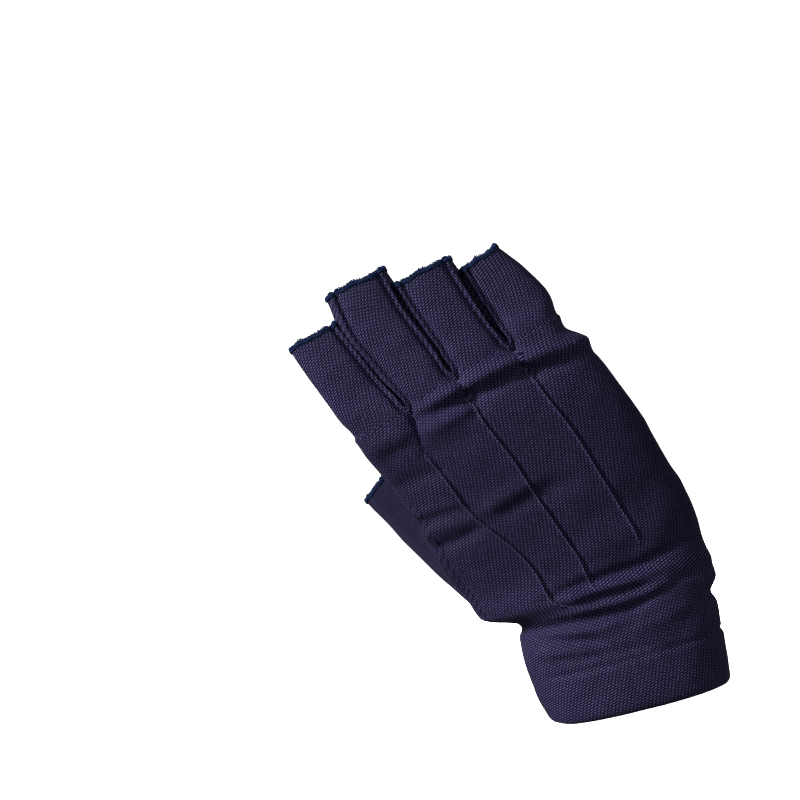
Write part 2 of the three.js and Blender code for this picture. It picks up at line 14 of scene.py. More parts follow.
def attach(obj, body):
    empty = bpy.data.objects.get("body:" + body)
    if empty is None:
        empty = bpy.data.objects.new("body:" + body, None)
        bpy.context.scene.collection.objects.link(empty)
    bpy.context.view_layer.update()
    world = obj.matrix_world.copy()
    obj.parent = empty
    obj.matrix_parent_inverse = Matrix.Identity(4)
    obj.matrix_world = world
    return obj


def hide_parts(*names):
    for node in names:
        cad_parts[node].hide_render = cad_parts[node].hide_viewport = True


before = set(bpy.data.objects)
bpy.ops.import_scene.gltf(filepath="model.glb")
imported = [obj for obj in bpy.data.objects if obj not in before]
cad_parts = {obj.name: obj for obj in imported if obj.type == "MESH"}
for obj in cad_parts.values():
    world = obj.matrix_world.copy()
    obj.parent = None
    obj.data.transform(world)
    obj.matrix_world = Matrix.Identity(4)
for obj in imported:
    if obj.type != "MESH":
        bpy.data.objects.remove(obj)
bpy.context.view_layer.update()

MM = 0.001
CLOTH = 1.0                # cloth wall
SEAM_ANGLE = 34            # where the finger side strips start, degrees from the finger's side
SEAM_STEP = 0.5            # turn across such a seam
THUMB_GAP = 0.25           # palm to thumb cloth in their seam
WEB = dict(rise=6.5, shift=0.25)    # the web between two fingers: rise over the fork, lean a mm
SIDE_WAVE = 1.3            # how far the touching sides of two fingers follow one another
WAVE_SHARES = (0.02, 0.12, 0.8, 1)  # places on the stall where that starts, is full, eases, ends
# Finger gap, and the dark slot at its foot, by shares of the stall's length.
GAP = dict(width=0.7, full=0.05)
SLOT = dict(width=1.1, full=0.04, ease=0.1, end=0.2)
FULLER = dict(swell=0.35, full=0.3)     # the cloth's swell over the solid fingers
FINGER_SQUARE = 3.2        # the stalls are boxier than their solids
THUMB_SQUARE = 2.1         # the same for the thumb
STALL = dict(half=10.4, depth=10.2)     # usual section of a stall, for spacing its net
NET = 0.92                 # spacing of the net of facets
SEAM_NET = 0.36            # spacing beside a seam or a ridge
SEAM_BAND = 2.9            # width of the close net beside a seam or a ridge
SIDE_BAND = 9              # the same at the thumb side of the back
STRIP_WIDTH = 12           # usual width of a strip between two fingers
THUMB_LENGTH = 44          # usual length of the thumb's cloth, for spacing its rows


def table(names, *rows):
    """Rows of values under the names of their columns."""
    return [dict(zip(names.split(), row)) for row in rows]


# Sections of the hand: middle, lean toward the thumb side in degrees, half width, depth of the
# back and of the palm half, and squareness.
BODY = table(
    "z x y lean half back palm square",
    (0, 0.6, 0, 0.5, 33.4, 21.5, 22, 2.2),
    (8, -0.2, 0, 0.2, 34.8, 22, 22.5, 2.2),
    (18.5, -0.8, 0, 0.8, 35.6, 22, 22.5, 2.2),
    (27.5, -0.6, 0, 2.4, 36.5, 21.5, 22.5, 2.2),
    (35.5, 0.1, -0.2, 2.6, 36.4, 20.5, 22, 2.2),
    (40.6, 1.2, -0.6, 3.8, 37.2, 19.5, 22, 2.2),
    (46.8, -5.8, -1.4, 4.7, 43, 19, 23.5, 2.2),
    (57.5, -8, -2.8, 7.4, 44.4, 17.5, 24, 2.2),
    (67.6, -11.4, -4, 9.2, 45.6, 16.5, 22.5, 2.25),
    (79.6, -15.1, -5.5, 11.1, 45, 16, 20, 2.3),
    (95.8, -19.9, -7.6, 13.4, 44.3, 15, 17, 2.35),
    (108.2, -25.2, -9.2, 14.9, 44.2, 14, 14.5, 2.4),
    (120.1, -30.9, -10.8, 16.4, 44, 12.8, 12.8, 2.4),
    (129.8, -36.1, -12, 17.7, 43.2, 11.5, 12, 2.4),
)
TOP = BODY[-1]["z"]
FORK_BLEND = 106           # above this height the rows go over into the forks' line
# The foot of each finger gap, and the two outer ends of that line.
FORKS = table(
    "x y z depth",
    (-77.2, -10.8, 116.7, 10.5),
    (-56.3, -12.4, 123.9, 11.5),
    (-37.6, -12.8, 131.7, 11.8),
    (-15.9, -12.4, 136.9, 11),
    (5, -11.2, 143, 9.6),
)
# Sections of the stalls and the thumb by share of their length. The first of a stall is the fork.
STALL_SECTIONS = {
    "index": [
        (0.32, -72.2, -12.6, 132.3, 19.6, 10.4, 9.9),
        (0.66, -77.8, -13.4, 145.6, 18.4, 9.7, 9.2),
        (1, -82.2, -13.8, 156.5, 16.6, 9.35, 8.9),
    ],
    "middle": [
        (0.32, -53.2, -13.8, 142.1, 19.1, 10.9, 10.4),
        (0.66, -59.7, -14.8, 157, 15.6, 11.3, 10),
        (1, -63.3, -15.4, 171, 13.3, 10.65, 9.8),
    ],
    "ring": [
        (0.32, -31.2, -13.8, 146, 11.8, 10.5, 10.2),
        (0.66, -36, -14.8, 158.4, 12, 10.7, 9.8),
        (1, -39.5, -15.4, 169.3, 12.4, 10.65, 9.5),
    ],
    "little": [
        (0.32, -8.8, -12.4, 149.7, 15.6, 11, 8.8),
        (0.66, -13.6, -13.2, 160.4, 17, 10, 8.3),
        (1, -18.4, -13.8, 169.2, 22.6, 7.45, 7.8),
    ],
}
FINGERS = {name: table("at x y z lean half depth", *rows) for name, rows in STALL_SECTIONS.items()}
NAMES = list(FINGERS)
FINGER_BLEND = 0.34        # share of a stall in which the forks' line goes over into its section
HOLE = dict(bottom=51, top=94.5, angle=334)     # the thumb's, in the palm: heights, inner side
THUMB = table(
    "at x y z lean tilt half depth",
    (0, -49, 11, 66, 50, 30, 15, 14.5),
    (0.45, -57.3, 16.5, 81, 34, 16, 12.9, 12.6),
    (1, -68.6, 21.5, 99.4, 30, 9, 12, 11.6),
)
THUMB_BLEND = 0.6
# Tucks: how far each lies from its fork's column, as a share of half the width, low and high on
# the back and low on the palm, and its two ends.
TUCKS = [
    dict(fork=1, low=0.09, high=-0.125, palm=-0.14, bottom=41, top=116.5),
    dict(fork=2, low=-0.02, high=-0.06, palm=-0.02, bottom=44.2, top=125),
    dict(fork=3, low=-0.04, high=-0.045, palm=0, bottom=53.8, top=131),
]
EDGE_COLUMNS = dict(thumb_side=30, little_side=9)  # columns laid evenly at the hand's edges
TUCK_COURSE = dict(low=62, high=95, fork=112)      # heights where the tucks change course


# Reading tables and plain curves.
def smooth(start, stop, value):
    share = np.clip((value - start) / (stop - start), 0, 1)
    return share * share * (3 - 2 * share)


def signed_power(value, power):
    return np.sign(value) * np.abs(value) ** power


def read_table(rows, key, value):
    """All columns of a table at one value of its key, on curves that do not overshoot."""
    last = len(rows) - 1
    i = 0
    while i < last - 1 and value > rows[i + 1][key]:
        i += 1
    span = rows[i + 1][key] - rows[i][key]
    s = min(1.0, max(0.0, (value - rows[i][key]) / span))

    def run(k, name):
        return (rows[k + 1][name] - rows[k][name]) / (rows[k + 1][key] - rows[k][key])

    def slope(k, name):
        if k in (0, last):
            return run(0 if k == 0 else last - 1, name)
        before, after = run(k - 1, name), run(k, name)
        return 0 if before * after <= 0 else 2 * before * after / (before + after)

    result = {}
    for name in rows[i]:
        result[name] = ((2 * s**3 - 3 * s**2 + 1) * rows[i][name]
                        + (3 * s**2 - 2 * s**3) * rows[i + 1][name]
                        + (s**3 - 2 * s**2 + s) * span * slope(i, name)
                        + (s**3 - s**2) * span * slope(i + 1, name))
    return result


# Shape of the glove.
def across_of(degrees):
    return signed_power(-np.cos(np.radians(degrees)), 2 / FINGER_SQUARE)


def side_share(angles, side):
    """1 in the middle of a side strip (side 180 or 360), 0 at its edges and outside it."""
    return np.cos(np.clip((angles - side) / SEAM_ANGLE, -1, 1) * math.pi / 2)


def fork_points(index, start, stop, angles):
    first, second = across_of(start), across_of(stop)
    share = np.clip((across_of(angles) - first) / (second - first), 0, 1)
    a, b = FORKS[index], FORKS[index + 1]
    value = {name: a[name] + (b[name] - a[name]) * share for name in a}
    deep = value["depth"] * signed_power(np.sin(np.radians(angles)), 2 / FINGER_SQUARE)
    web = np.zeros(len(angles))
    if index > 0:
        web += WEB["rise"] * side_share(angles, 360)
    if index < 3:
        web += WEB["rise"] * side_share(angles, 180)
    return np.stack([value["x"] - WEB["shift"] * web, value["y"] - deep, value["z"] + web], axis=-1)


def finger_row(index, start, stop, angles, at):
    a, b = FORKS[index], FORKS[index + 1]
    run_x, run_z = b["x"] - a["x"], b["z"] - a["z"]
    root = dict(at=0, x=(a["x"] + b["x"]) / 2, y=(a["y"] + b["y"]) / 2, z=(a["z"] + b["z"]) / 2,
                lean=math.degrees(math.atan2(run_z, run_x)), half=math.hypot(run_x, run_z) / 2,
                depth=(a["depth"] + b["depth"]) / 2)
    section = read_table([root] + FINGERS[NAMES[index]], "at", at)
    turn = math.radians(section["lean"])
    across = (section["half"] + FULLER["swell"] * smooth(0, FULLER["full"], at)) * across_of(angles)
    deep = section["depth"] * signed_power(np.sin(np.radians(angles)), 2 / FINGER_SQUARE)
    own = np.stack([section["x"] + across * math.cos(turn), section["y"] - deep,
                    section["z"] + across * math.sin(turn)], axis=-1)
    base = fork_points(index, start, stop, angles)
    gap = (GAP["width"] * smooth(0, GAP["full"], at)
           + SLOT["width"] * smooth(0, SLOT["full"], at) * (1 - smooth(SLOT["ease"], SLOT["end"], at)))
    narrow = 1 - gap / (2 * root["half"])
    carried = np.stack([section["x"] + (base[:, 0] - root["x"]) * narrow,
                        section["y"] + base[:, 1] - root["y"],
                        section["z"] + (base[:, 2] - root["z"]) * narrow], axis=-1)
    part = smooth(0, FINGER_BLEND, at)
    row = carried * (1 - part) + own * part
    wave = np.zeros(len(angles))
    if index < 3:
        wave += np.sin(np.clip((angles - 180) / SEAM_ANGLE, -1, 1) * math.pi)
    if index > 0:
        wave -= np.sin(np.clip((angles - 360) / SEAM_ANGLE, -1, 1) * math.pi)
        wave -= np.sin(np.clip(angles / SEAM_ANGLE, -1, 1) * math.pi) * (angles < 90)
    start, full, ease, end = WAVE_SHARES
    wave *= SIDE_WAVE * smooth(start, full, at) * (1 - 0.4 * smooth(ease, end, at))
    row[:, 0] += wave * math.cos(turn)
    row[:, 2] += wave * math.sin(turn)
    return row


def body_ring(height, across, side):
    s = read_table(BODY, "z", height)
    turn = math.radians(s["lean"])
    depth = np.where(side < 0, s["back"], s["palm"])
    round_ = np.maximum(0, 1 - np.abs(across) ** s["square"]) ** (1 / s["square"])
    return np.stack([s["x"] + s["half"] * across * math.cos(turn), s["y"] + side * depth * round_,
                     s["z"] + s["half"] * across * math.sin(turn)], axis=-1)


def place_on_fork_line(x, z):
    s = BODY[-1]
    turn = math.radians(s["lean"])
    along = (x - s["x"]) * math.cos(turn) + (z - s["z"]) * math.sin(turn)
    return np.clip(along / s["half"], -1, 1)


TUCK_PLACES = [float(place_on_fork_line(FORKS[t["fork"]]["x"], FORKS[t["fork"]]["z"])) for t in TUCKS]


def tuck_drifts(side, height):
    """How far each tuck's column lies from the fork's own, as a share of half the width."""
    palm = smooth(TUCKS[0]["top"], TUCKS[0]["bottom"], height)
    low = smooth(TUCK_COURSE["high"], TUCK_COURSE["low"], height)
    fade = smooth(TOP, TUCK_COURSE["fork"], height)
    if side > 0:
        return [t["palm"] * palm for t in TUCKS]
    return [(t["high"] + (t["low"] - t["high"]) * low) * fade for t in TUCKS]


def spread(section, side, place, shares):
    """Places across, at shares of the section's own length from the hand's edge to a place."""
    power = 2 / section["square"]
    fine = np.linspace(0, math.acos(min(1, abs(place) ** (1 / power))), 80)
    x = section["half"] * np.cos(fine) ** power
    y = section["back" if side < 0 else "palm"] * np.sin(fine) ** power
    run = np.concatenate([[0], np.cumsum(np.hypot(np.diff(x), np.diff(y)))])
    return math.copysign(1, place) * np.cos(np.interp(shares * run[-1], run, fine)) ** power


def place_across(tops, sides, height):
    place = place_on_fork_line(tops[:, 0], tops[:, 2])
    for side in (-1, 1):
        own = sides == side
        place[own] += np.interp(place[own], [-1] + TUCK_PLACES + [1], [0] + tuck_drifts(side, height) + [0])
    place = np.clip(place, -1, 1)
    section = read_table(BODY, "z", height)
    for window in edge_windows:
        own = window["columns"]
        place[own] = spread(section, window["side"], place[own[-1]], window["shares"])
    return place


def body_row(height, tops, side):
    ring = body_ring(height, place_across(tops, side, height), side)
    last = body_ring(TOP, place_across(tops, side, TOP), side)
    return ring + (tops - last) * smooth(FORK_BLEND, TOP, height)


def thumb_frame(at):
    s = read_table(THUMB, "at", at)
    lean, tilt = math.radians(s["lean"]), math.radians(s["tilt"])
    s["middle"] = np.array([s["x"], s["y"], s["z"]])
    s["across"] = np.array([math.cos(lean), 0, math.sin(lean)])
    s["deep"] = np.array([math.sin(tilt) * math.sin(lean), math.cos(tilt),
                          -math.sin(tilt) * math.cos(lean)])
    return s


def thumb_row(starts, at):
    root, s = thumb_frame(0), thumb_frame(at)
    arm = starts - root["middle"]
    angle = np.arctan2(arm @ root["deep"] / root["depth"], arm @ root["across"] / root["half"])
    power = 2 / THUMB_SQUARE
    own = (s["middle"] + np.outer(s["half"] * signed_power(np.cos(angle), power), s["across"])
           + np.outer(s["depth"] * signed_power(np.sin(angle), power), s["deep"]))
    carried = starts + s["middle"] - root["middle"]
    part = smooth(0, THUMB_BLEND, at)
    return carried * (1 - part) + own * part


# The net of facets: closer beside seams and ridges.
def spaced(length, start_band, end_band):
    """Places from 0 to length, NET apart, and SEAM_NET apart in the bands at the two ends."""
    def close(band):
        return list(np.linspace(0, band, round(band / SEAM_NET) + 1)[:-1])

    inner = length - start_band - end_band
    middle = list(np.linspace(start_band, length - end_band, max(2, round(inner / NET) + 1)))
    return np.array(close(start_band) + middle + [length - p for p in reversed(close(end_band))])


def strip_angles(start, stop, start_band, end_band):
    """Angles across a strip of a finger, spaced by the length of its curve."""
    fine = np.linspace(start, stop, 400)
    x = STALL["half"] * across_of(fine)
    y = STALL["depth"] * signed_power(np.sin(np.radians(fine)), 2 / FINGER_SQUARE)
    run = np.concatenate([[0], np.cumsum(np.hypot(np.diff(x), np.diff(y)))])
    return np.interp(spaced(run[-1], start_band, end_band), run, fine)


class Net:
    """Points and facets of the whole cloth. A facet of piece None lies in a seam."""

    def __init__(self):
        self.points, self.sides, self.pieces, self.corners, self.uvs = [], [], [], [], []
        self.twins = []

    def add_row(self, row, sides):
        first = len(self.points)
        self.points.extend(row)
        self.sides.extend(np.broadcast_to(sides, len(row)))
        return list(range(first, first + len(row)))

    def add_facet(self, piece, rows, r, c, across, along, anchor=None, base=(0, 0)):
        """A facet above row r beside column c, and its place on the cloth: the lengths across and
        along it, the first counted from the column anchor, and both from base."""
        count = len(rows[r])
        n = (c + 1) % count
        self.pieces.append(piece)
        self.corners.append((rows[r][c], rows[r][n], rows[r + 1][n], rows[r + 1][c]))
        self.uvs.append([(base[0] + across[i, k] - (0 if anchor is None else across[i, anchor]),
                          base[1] + along[i, k % count])
                         for i, k in ((r, c), (r, c + 1), (r + 1, c + 1), (r + 1, c))])


net = Net()


def run_lengths(rows):
    """Length along each column from its first row, for rows of equal size."""
    steps = np.linalg.norm(np.diff(rows, axis=0), axis=2)
    return np.concatenate([np.zeros((1, rows.shape[1])), np.cumsum(steps, axis=0)])


def line_lengths(row):
    return np.concatenate([[0], np.cumsum(np.linalg.norm(np.diff(row, axis=0), axis=1))])


def ring_lengths(row):
    return line_lengths(np.vstack([row, row[:1]]))


layout = []
for index in range(4):
    first, last = index == 0, index == 3
    start, stop = (0 if first else SEAM_ANGLE), (180 if last else 180 - SEAM_ANGLE)
    back = strip_angles(start, stop, SIDE_BAND if first else SEAM_BAND, 0 if last else SEAM_BAND)
    palm = strip_angles(360 - stop, 360 - start, 0 if last else SEAM_BAND, 0 if first else SEAM_BAND)
    if first:
        palm[np.argmin(np.abs(palm - HOLE["angle"]))] = HOLE["angle"]
    side_count = round(STRIP_WIDTH / NET)
    right = np.linspace(180 - SEAM_ANGLE + SEAM_STEP, 180 + SEAM_ANGLE - SEAM_STEP, side_count)
    layout.append(dict(start=start, stop=stop, back=back, palm=palm,
                       right=None if last else right, left=None if first else right + 180))

tops, top_sides = [], []
for index, part in enumerate(layout):
    part["back_start"] = len(tops)
    tops.extend(fork_points(index, part["start"], part["stop"], part["back"][:-1]))
    top_sides.extend([-1] * (len(part["back"]) - 1))
ulnar_column = len(tops)
for index in (3, 2, 1, 0):
    part = layout[index]
    part["palm_start"] = len(tops)
    tops.extend(fork_points(index, part["start"], part["stop"], part["palm"][:-1]))
    top_sides.extend([1] * (len(part["palm"]) - 1))
tops, top_sides = np.array(tops), np.array(top_sides)
columns = len(tops)
mark_sides = top_sides.copy()
mark_sides[[0, ulnar_column]] = 0

hole_left = layout[0]["palm_start"]
hole_right = hole_left + int(np.argmin(np.abs(layout[0]["palm"] - HOLE["angle"])))

# At the two edges of the hand the columns lie evenly, up to these columns.
edge_windows = []
for edge, last, side in ((0, EDGE_COLUMNS["thumb_side"], -1), (0, hole_right - columns, 1),
                         (ulnar_column, ulnar_column - EDGE_COLUMNS["little_side"], -1),
                         (ulnar_column, ulnar_column + EDGE_COLUMNS["little_side"], 1)):
    step = 1 if last > edge else -1
    own = np.arange(edge, last + step, step) % columns
    run = line_lengths(tops[own])
    edge_windows.append(dict(columns=own, side=side, shares=run / run[-1]))

heights = np.linspace(0, TOP, round(TOP / NET) + 1)
for mark in (HOLE["bottom"], HOLE["top"]):
    heights[np.argmin(np.abs(heights - mark))] = mark
body_places = np.array([body_row(h, tops, top_sides) for h in heights])
body = [net.add_row(row, mark_sides) for row in body_places]
hole_low = int(np.argmin(np.abs(heights - HOLE["bottom"])))
hole_high = int(np.argmin(np.abs(heights - HOLE["top"])))

middle_column = layout[2]["back_start"]
body_v = run_lengths(body_places)
body_u = np.array([ring_lengths(row) for row in body_places])
body_u -= body_u[:, middle_column:middle_column + 1]
for r in range(len(heights) - 1):
    for c in range(columns):
        if not (hole_low <= r < hole_high and hole_left <= c < hole_right):
            net.add_facet("trank", body, r, c, body_u, body_v)

THUMB_SIDE = 2             # the thumb's mark among the sides: -1 back, 1 palm, 0 between them
openings = {}
seam_lines = {1: [], 2: [], 3: []}      # edges of the back strips at each fork
webs = {}
for index, part in enumerate(layout):
    angles, bases, sides, pieces, ends = [], [], [], [], []

    def add_strip(strip, base, side, piece, has_end):
        for k, angle in enumerate(strip):
            if k == len(strip) - 1 and not has_end:
                break
            angles.append(angle)
            bases.append(base[k])
            sides.append(side)
            pieces.append(None if k == len(strip) - 1 else piece)
            ends.append(k == len(strip) - 1)

    top_row = body[-1] + [body[-1][0]]
    add_strip(part["back"], top_row[part["back_start"]:], -1, "trank", part["right"] is not None)
    if part["right"] is not None:
        web = fork_points(index, part["start"], part["stop"], part["right"])
        webs[index + 1] = net.add_row(web, 0)
        add_strip(part["right"], webs[index + 1], 0, f"fourchette_{index + 1}", True)
    add_strip(part["palm"], top_row[part["palm_start"]:], 1, "trank", part["left"] is not None)
    if part["left"] is not None:
        add_strip(part["left"], webs[index][::-1], 0, f"fourchette_{index}", True)

    end = FINGERS[NAMES[index]][-1]
    length = math.dist((end["x"], end["z"]), ((FORKS[index]["x"] + FORKS[index + 1]["x"]) / 2,
                                              (FORKS[index]["z"] + FORKS[index + 1]["z"]) / 2))
    steps = spaced(length, SEAM_BAND, 0) / length
    angles = np.array(angles)
    rows, places = [bases], [np.array([net.points[b] for b in bases])]
    for at in steps[1:]:
        row = finger_row(index, part["start"], part["stop"], angles, at)
        places.append(row)
        rows.append(net.add_row(row, sides))
    places = np.array(places)
    along = run_lengths(places)
    count = len(angles)
    around = np.array([ring_lengths(row) for row in places])
    back_count = len(part["back"]) - 1
    # The knit of each strip is counted from one column: its place in the stall and in the body.
    if part["right"] is None:
        back_anchor = palm_anchor = (back_count, body_u[-1, ulnar_column])
    else:
        palm_half = len(part["palm"]) // 2
        back_anchor = (back_count // 2, body_u[-1, part["back_start"] + back_count // 2])
        palm_anchor = (back_count + palm_half + len(part["right"]),
                       body_u[-1, part["palm_start"] + palm_half])
    for r in range(len(rows) - 1):
        for c, piece in enumerate(pieces):
            if piece == "trank":
                anchor, base_u = back_anchor if c < back_count else palm_anchor
                net.add_facet(piece, rows, r, c, around, along, anchor, (base_u, body_v[-1, 0]))
            else:
                net.add_facet(piece, rows, r, c, around, along, pieces.index(piece))
    for c in range(count):
        if ends[c]:
            net.twins.extend((row[c], row[(c + 1) % count]) for row in rows)
    if part["right"] is not None:
        seam_lines[index + 1].append([row[back_count] for row in rows])
    if part["left"] is not None:
        seam_lines[index].append([row[0] for row in rows])
    openings[NAMES[index]] = rows[-1]

hole_edge = ([body[hole_low][c] for c in range(hole_left, hole_right)]
             + [body[r][hole_right] for r in range(hole_low, hole_high)]
             + [body[hole_high][c] for c in range(hole_right, hole_left, -1)]
             + [body[r][hole_left] for r in range(hole_high, hole_low, -1)])
edge_places = np.array([net.points[k] for k in hole_edge])
inward = edge_places.mean(axis=0) - edge_places
first_row = edge_places + inward / np.linalg.norm(inward, axis=1)[:, None] * THUMB_GAP
thumb_rows, thumb_places = [hole_edge], [edge_places]
for at in [0] + list(np.linspace(0.02, 1, round(THUMB_LENGTH / NET))):
    row = first_row if at == 0 else thumb_row(edge_places, at)
    thumb_places.append(row)
    thumb_rows.append(net.add_row(row, THUMB_SIDE))
thumb_v = run_lengths(np.array(thumb_places))
thumb_u = np.array([ring_lengths(row) for row in thumb_places])
thumb_u *= thumb_u[:, -1].mean() / thumb_u[:, -1:]
for r in range(len(thumb_rows) - 1):
    for c in range(len(hole_edge)):
        net.add_facet(None if r == 0 else "thumb_stall", thumb_rows, r, c, thumb_u, thumb_v)
net.twins.extend(zip(thumb_rows[0], thumb_rows[1]))
openings["thumb"] = thumb_rows[-1]

points = np.array(net.points)
sides = np.array(net.sides)
corners = np.array(net.corners)
uvs = np.array(net.uvs)
piece_names = np.array([p or "" for p in net.pieces])
twins = np.array(net.twins)


def outward_at(places):
    across = places[corners[:, 2]] - places[corners[:, 0]]
    up = places[corners[:, 3]] - places[corners[:, 1]]
    normal = np.cross(across, up)
    result = np.zeros_like(places)
    for k in range(4):
        np.add.at(result, corners[:, k], normal)
    result /= np.linalg.norm(result, axis=1)[:, None] + 1e-12
    shared = result[twins[:, 0]] + result[twins[:, 1]]
    shared /= np.linalg.norm(shared, axis=1)[:, None] + 1e-12
    result[twins[:, 0]] = shared
    result[twins[:, 1]] = shared
    return result


# Folds: width of the bell across them, height above (below 0: into) the smooth cloth, and path.
BACK_FOLDS = table(
    "width height path",
    (2.7, 2.4, [(-57, 121.5), (-37, 126.6), (-20, 130.6), (14, 132.4)]),
    (2.4, -2.1, [(-55, 119), (-45, 121), (-33, 123), (-18, 125.6), (14, 127.6)]),
    (2.2, 1.1, [(-55, 113.5), (-46, 115.6), (-31, 119.6)]),
    (2.8, 0.9, [(-76, 111), (-66, 114.6), (-55, 116)]),
    (2.4, -0.7, [(-71, 106.5), (-63, 109.6), (-55, 110.4)]),
    (2.8, -1.1, [(-71, 96.5), (-60, 98.4), (-46, 101)]),
    (4.4, -0.7, [(-58, 106), (-46, 108), (-32, 110)]),
    (2.2, 0.9, [(-66, 85.8), (-54, 86.8), (-44, 87)]),
    (2.2, -0.6, [(-64, 83.2), (-54, 84.4), (-43, 85.3)]),
    (2.7, 1.2, [(-64, 77.6), (-53, 79.6), (-41, 80.4)]),
    (2.2, -1.4, [(-62, 72), (-49, 74.2), (-38, 77.2)]),
    (3.2, 1.3, [(-41, 82), (-27, 85.9), (-16, 88.4)]),
    (3.6, -1.2, [(-40, 77.6), (-28, 80.5), (-21, 83.4), (-4, 86)]),
    (4, -0.6, [(-18, 86), (-2, 83.6)]),
    (2.2, -2.2, [(-25.5, 46), (-15.7, 48.4), (-6, 49), (12, 50.4), (31, 54.6)]),
    (2.2, 1.5, [(-28, 43.4), (-18, 44.6), (-7, 45.4), (6, 46), (24, 47.6)]),
    (1.9, -2.2, [(-18, 41.8), (-6, 42.4), (5, 42.4), (17, 42.6)]),
    (2.4, 2.0, [(-30, 38.6), (-16, 39.4), (0, 39.6), (12, 40.8), (26, 45)]),
    (2.5, -2.8, [(-41, 36.6), (-28, 35.8), (-12, 36), (4, 36.6), (22, 40.6)]),
    (2.2, 1.3, [(-38, 33.4), (-26, 33.2), (-12, 32.6), (6, 32.6)]),
    (2, -2.1, [(-36, 35), (-22, 30.6), (-11, 28), (-4, 25.6)]),
    (2.4, 1.3, [(-35, 27.4), (-22, 26.2), (-12, 24)]),
    (1.8, -1.2, [(-31, 24.6), (-18, 23.6), (-7, 23), (10, 21.6)]),
    (2.4, 0.8, [(-2, 28.6), (12, 29.6), (27, 32.4)]),
    (2.2, -1.6, [(17, 43.4), (27, 42.6), (40, 43.6)]),
    (5, 0.9, [(-12, 58), (10, 62), (30, 60)]),
    (5, -0.7, [(-8, 70), (14, 74), (28, 72)]),
)
EDGE_FOLDS = table(
    "width height path",
    (2.2, -1.4, [(30, 33.2), (42, 33.4)]),
    (2.4, 1.1, [(30, 38), (42, 39)]),
    (2.6, -1.9, [(1, 140.6), (16, 138)]),
    (2.4, 1.2, [(4, 133.6), (18, 131.6)]),
)
PALM_FOLDS = table(
    "width height path",
    (4.5, -1.8, [(-36, 39), (0, 41), (38, 44)]),
    (5, 1.5, [(-30, 32), (0, 33), (36, 36)]),
    (5, -1.4, [(-8, 58), (4, 82), (2, 104)]),
    (4.5, -1.3, [(-52, 108), (-30, 106), (-4, 114)]),
)
FOLD_END = 0.3             # share of a fold's length in which it rises at each end
FOLD_TIP = dict(height=0.15, width=0.6)     # shares of its height and width left at its ends
FADE_NORMAL = 0.6          # the cloth's outward direction along Y where a fold of the back ends
# Narrow reliefs as sums of bells across a line: height, place and width of each.
TUCK = [dict(height=0.8, at=-0.2, width=0.55), dict(height=-0.6, at=1.05, width=0.75)]
RIB = [dict(height=1.2, at=0.9, width=0.75), dict(height=-0.95, at=2.3, width=0.55)]
SIDE_SEAM = [dict(height=0.6, at=5.4, width=0.5), dict(height=0.6, at=7.0, width=0.55),
             dict(height=-0.45, at=8.2, width=0.5), dict(height=-0.4, at=4.4, width=0.5)]
RIB_FOOT = 112             # no ribs below this height
RIB_SEAM_WIDTH = 0.6       # how far the strip between the fingers follows a rib
TUCK_END = 7               # length in which a tuck rises at each end
SIDE_SEAM_ENDS = dict(start=40, stop=108, end=12)
# The hem's line rises toward the little finger; below it the doubled cloth stands out.
HEM_LINE = dict(at=18.9, slant=0.02, groove=-0.75, width=0.7, swell=0.4, step=1.6,
                fade_from=-24, fade_to=-37)
HEM_LIP = dict(height=3.4, pull=1.8)    # the cuff's end rounds inward


def fold_height(fold, xz):
    """Height of a fold at each place: a bell across its path that narrows to both its ends."""
    spans = [np.subtract(b, a) for a, b in zip(fold["path"], fold["path"][1:])]
    lengths = [math.hypot(*span) for span in spans]
    far, share = np.full(len(xz), 1e9), np.zeros(len(xz))
    for k, (start, span, length) in enumerate(zip(fold["path"], spans, lengths)):
        arm = xz - np.array(start)
        part = np.clip(arm @ span / length**2, 0, 1)
        here = np.linalg.norm(arm - part[:, None] * span, axis=1)
        share = np.where(here < far, (sum(lengths[:k]) + part * length) / sum(lengths), share)
        far = np.minimum(far, here)
    strength = smooth(0, FOLD_END, share) * smooth(1, 1 - FOLD_END, share)
    low_end, thin_end = FOLD_TIP["height"], FOLD_TIP["width"]
    return (fold["height"] * (low_end + (1 - low_end) * strength)
            * bell(far, fold["width"] * (thin_end + (1 - thin_end) * strength)))


def bell(distance, width):
    return np.exp(-(distance / width) ** 2)


def relief(bells, distance):
    return sum(b["height"] * bell(distance - b["at"], b["width"]) for b in bells)


def between(start, stop, end, value):
    """1 between two places, falling to 0 at each of them within a length."""
    return smooth(start, start + end, value) * (1 - smooth(stop - end, stop, value))


def line_distance(places, line):
    best = np.full(len(places), 1e9)
    for a, b in zip(line, line[1:]):
        run = b - a
        arm = places - a
        share = np.clip(arm @ run / max(run @ run, 1e-9), 0, 1)
        best = np.minimum(best, np.linalg.norm(arm - share[:, None] * run, axis=1))
    return best


rng = np.random.default_rng(7)
FULL_PHASE = 6.28
# Waves of the worn cloth's unevenness.
CRUMPLE = [dict(count=8, length=70, size=0.11), dict(count=14, length=24, size=0.05),
           dict(count=22, length=11, size=0.022)]


def crumple(places):
    """Small unevenness of worn cloth, as waves of several lengths in all directions."""
    total = np.zeros(len(places))
    for group in CRUMPLE:
        for _ in range(group["count"]):
            pace = rng.normal(size=3)
            pace *= 2 * math.pi / (group["length"] * rng.uniform(0.7, 1.4) * np.linalg.norm(pace))
            total += group["size"] * np.sin(places @ pace + rng.uniform(0, FULL_PHASE))
    return total


outward = outward_at(points)
lift = crumple(points)
